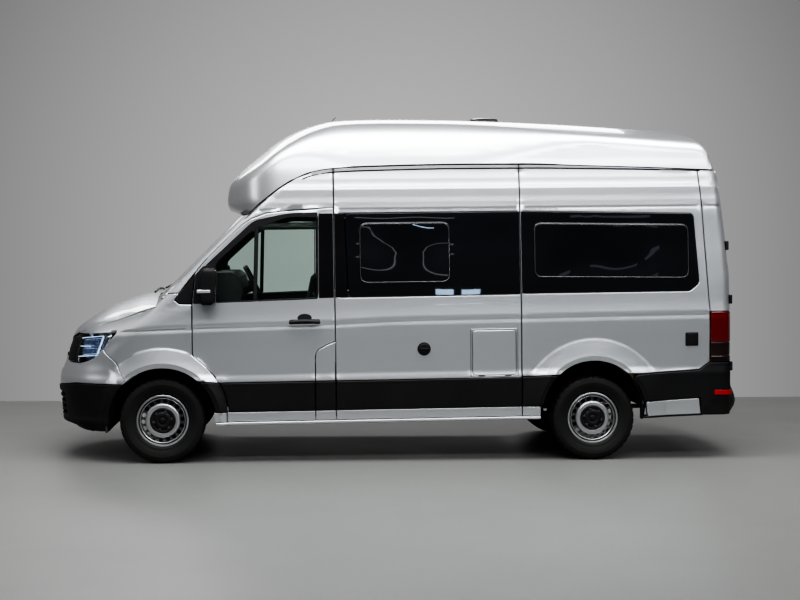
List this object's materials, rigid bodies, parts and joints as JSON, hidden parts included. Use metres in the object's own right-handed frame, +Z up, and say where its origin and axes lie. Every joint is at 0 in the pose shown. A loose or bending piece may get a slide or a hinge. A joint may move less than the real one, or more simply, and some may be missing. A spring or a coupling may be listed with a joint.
{
  "type": "camper van",
  "caption": "Long panel-van camper with raised moulded roof, hinged cab and rear doors, side windows, service flap and fitted living space.",
  "frame": {"origin": "on the ground under the middle of the vehicle's overall box", "axes": "+X forward, +Y to the vehicle's left, +Z up"},
  "size_m": [5.9879, 2.427, 2.991],
  "materials": {
    "body_silver": "metallic silver lacquer",
    "roof_silver": "lacquered moulded roof",
    "black_trim": "grained black plastic",
    "clear_glass": "lightly tinted glass",
    "dark_glass": "dark tinted window panes",
    "lamp_clear": "clear lamp lens over bright bowl",
    "lamp_red": "red lamp lens",
    "tyre_rubber": "black tyre rubber",
    "wheel_silver": "silver painted steel wheel",
    "chassis_black": "black chassis paint",
    "cast_metal": "bare castings",
    "cabin_plastic": "dark grained cabin plastic",
    "seat_fabric": "dark woven seat cloth",
    "furniture_board": "laminated furniture board"
  },
  "bodies": {
    "body": {"cab_shell": "body_silver", "side_wall_left": "body_silver", "side_wall_right": "body_silver", "sliding_door": "body_silver", "high_roof": "roof_silver", "roof_hatch": "black_trim", "floor_pan": "chassis_black", "front_wings": "body_silver", "front_bumper": "black_trim", "grille": "black_trim", "headlamps": "lamp_clear", "windscreen": "clear_glass", "rear_bumper": "black_trim", "tail_lamps": "lamp_red", "side_windows": "dark_glass", "dashboard": "cabin_plastic", "front_seats": "seat_fabric", "furniture": "furniture_board", "engine_block": "cast_metal", "front_subframe": "chassis_black", "rear_axle": "chassis_black", "underfloor_tanks": "black_trim", "wheel_arch_liners": "black_trim"},
    "bonnet": {"bonnet": "body_silver"},
    "door_left": {"door_left": "body_silver", "door_glass_left": "clear_glass", "door_mirror_left": "black_trim"},
    "door_right": {"door_right": "body_silver", "door_glass_right": "clear_glass", "door_mirror_right": "black_trim"},
    "rear_door_left": {"rear_door_left": "body_silver", "rear_glass_left": "dark_glass"},
    "rear_door_right": {"rear_door_right": "body_silver", "rear_glass_right": "dark_glass"},
    "service_flap": {"service_flap": "body_silver"},
    "knuckle_left": {"knuckle_left": "cast_metal"},
    "knuckle_right": {"knuckle_right": "cast_metal"},
    "steering_wheel": {"steering_wheel": "cabin_plastic"},
    "roadwheel_front_left": {"tyre_front_left": "tyre_rubber", "wheel_front_left": "wheel_silver"},
    "roadwheel_front_right": {"tyre_front_right": "tyre_rubber", "wheel_front_right": "wheel_silver"},
    "roadwheel_rear_left": {"tyre_rear_left": "tyre_rubber", "wheel_rear_left": "wheel_silver"},
    "roadwheel_rear_right": {"tyre_rear_right": "tyre_rubber", "wheel_rear_right": "wheel_silver"}
  },
  "joints": [
    {"name": "front_left_steer", "type": "hinge", "parent": "body", "child": "knuckle_left", "pos_m": [1.997, 0.82, 0.356], "axis": [0, 0, 1], "range_deg": [-35, 35]},
    {"name": "front_right_steer", "type": "hinge", "parent": "body", "child": "knuckle_right", "pos_m": [1.997, -0.82, 0.356], "axis": [0, 0, 1], "range_deg": [-35, 35]},
    {"name": "steering_wheel_turn", "type": "hinge", "parent": "body", "child": "steering_wheel", "pos_m": [1.24177, 0.48, 1.47881], "axis": [-0.8962, 0, 0.4437], "range_deg": [-560, 560]},
    {"name": "front_left_spin", "type": "hinge", "parent": "knuckle_left", "child": "roadwheel_front_left", "pos_m": [1.997, 0.879, 0.356], "axis": [0, 1, 0], "continuous": true},
    {"name": "front_right_spin", "type": "hinge", "parent": "knuckle_right", "child": "roadwheel_front_right", "pos_m": [1.997, -0.879, 0.356], "axis": [0, 1, 0], "continuous": true},
    {"name": "rear_left_spin", "type": "hinge", "parent": "body", "child": "roadwheel_rear_left", "pos_m": [-1.643, 0.872, 0.356], "axis": [0, 1, 0], "continuous": true},
    {"name": "rear_right_spin", "type": "hinge", "parent": "body", "child": "roadwheel_rear_right", "pos_m": [-1.643, -0.872, 0.356], "axis": [0, 1, 0], "continuous": true},
    {"name": "door_left_swing", "type": "hinge", "parent": "body", "child": "door_left", "pos_m": [1.73219, 1.014, 1.07592], "axis": [-0.014, 0, -0.9999], "range_deg": [0, 70]},
    {"name": "door_right_swing", "type": "hinge", "parent": "body", "child": "door_right", "pos_m": [1.73219, -1.014, 1.07592], "axis": [0.014, 0, 0.9999], "range_deg": [0, 70]},
    {"name": "rear_door_left_swing", "type": "hinge", "parent": "body", "child": "rear_door_left", "pos_m": [-2.84357, 0.995, 1.33983], "axis": [-0.014, 0, -0.9999], "range_deg": [0, 180]},
    {"name": "rear_door_right_swing", "type": "hinge", "parent": "body", "child": "rear_door_right", "pos_m": [-2.84357, -0.995, 1.33983], "axis": [0.014, 0, 0.9999], "range_deg": [0, 180]},
    {"name": "bonnet_lift", "type": "hinge", "parent": "body", "child": "bonnet", "pos_m": [2.06991, 0, 1.41124], "axis": [0, -1, 0], "range_deg": [0, 60]},
    {"name": "service_flap_drop", "type": "hinge", "parent": "body", "child": "service_flap", "pos_m": [-0.79011, 1.011, 0.7141], "axis": [-0.9999, 0, 0.014], "range_deg": [0, 95]}
  ],
  "couplings": [
    {"joint": "front_right_steer", "follows": "front_left_steer", "ratio": 1},
    {"joint": "steering_wheel_turn", "follows": "front_left_steer", "ratio": 16}
  ]
}
